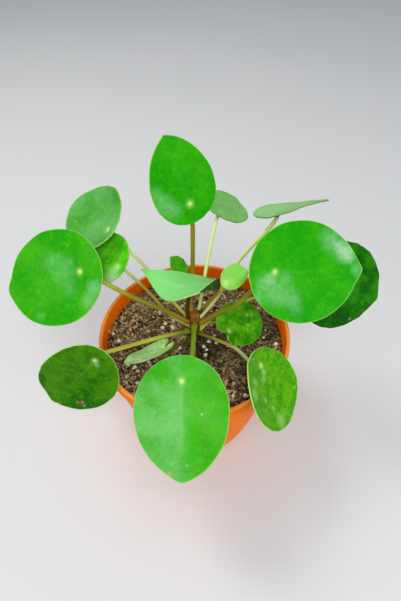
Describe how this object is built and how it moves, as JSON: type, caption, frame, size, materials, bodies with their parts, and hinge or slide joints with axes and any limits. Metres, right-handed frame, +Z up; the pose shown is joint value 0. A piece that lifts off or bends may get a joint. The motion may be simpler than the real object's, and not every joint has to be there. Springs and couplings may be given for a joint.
{
  "type": "potted pilea plant",
  "caption": "Potted pilea: round shield leaves on long bare stalks from one short stem, in potting soil in a tapered plastic pot with a rim band.",
  "frame": {"origin": "middle of the pot's foot, on the surface that the pot stands on", "axes": "+Z up along the pot's axis; the plant's front, as pictured, looks towards -Y; +X is to the right seen from the front"},
  "size_m": [0.2321, 0.1683, 0.2157],
  "materials": {
    "pot_plastic": "smooth bright orange moulded plastic with a soft gloss",
    "potting_soil": "matte crumbly brown peat with fibres and cream perlite",
    "stem_bark": "matte brown bark with leaf scars, green-brown at the bud",
    "leaf_stalk": "smooth satin yellow-green to brown stalk",
    "leaf_blade": "smooth satin green leaf with a pale spot over the stalk",
    "young_leaf_blade": "smooth satin fresh light green young leaf"
  },
  "bodies": {
    "root": {"pot": "pot_plastic", "soil": "potting_soil", "stem": "stem_bark", "leaf_top_stalk": "leaf_stalk", "leaf_top_blade": "leaf_blade", "leaf_left_stalk": "leaf_stalk", "leaf_left_blade": "leaf_blade", "leaf_upper_left_stalk": "leaf_stalk", "leaf_upper_left_blade": "leaf_blade", "leaf_mid_left_stalk": "leaf_stalk", "leaf_mid_left_blade": "leaf_blade", "leaf_lower_left_stalk": "leaf_stalk", "leaf_lower_left_blade": "leaf_blade", "leaf_front_stalk": "leaf_stalk", "leaf_front_blade": "leaf_blade", "leaf_lower_right_stalk": "leaf_stalk", "leaf_lower_right_blade": "leaf_blade", "leaf_right_stalk": "leaf_stalk", "leaf_right_blade": "leaf_blade", "leaf_far_right_stalk": "leaf_stalk", "leaf_far_right_blade": "leaf_blade", "leaf_upper_right_stalk": "leaf_stalk", "leaf_upper_right_blade": "leaf_blade", "leaf_upper_back_stalk": "leaf_stalk", "leaf_upper_back_blade": "leaf_blade", "leaf_centre_stalk": "leaf_stalk", "leaf_centre_blade": "leaf_blade", "leaf_young_right_stalk": "leaf_stalk", "leaf_young_right_blade": "young_leaf_blade", "leaf_young_back_stalk": "leaf_stalk", "leaf_young_back_blade": "young_leaf_blade", "leaf_low_right_stalk": "leaf_stalk", "leaf_low_right_blade": "leaf_blade", "leaf_low_left_stalk": "leaf_stalk", "leaf_low_left_blade": "leaf_blade"}
  },
  "joints": []
}
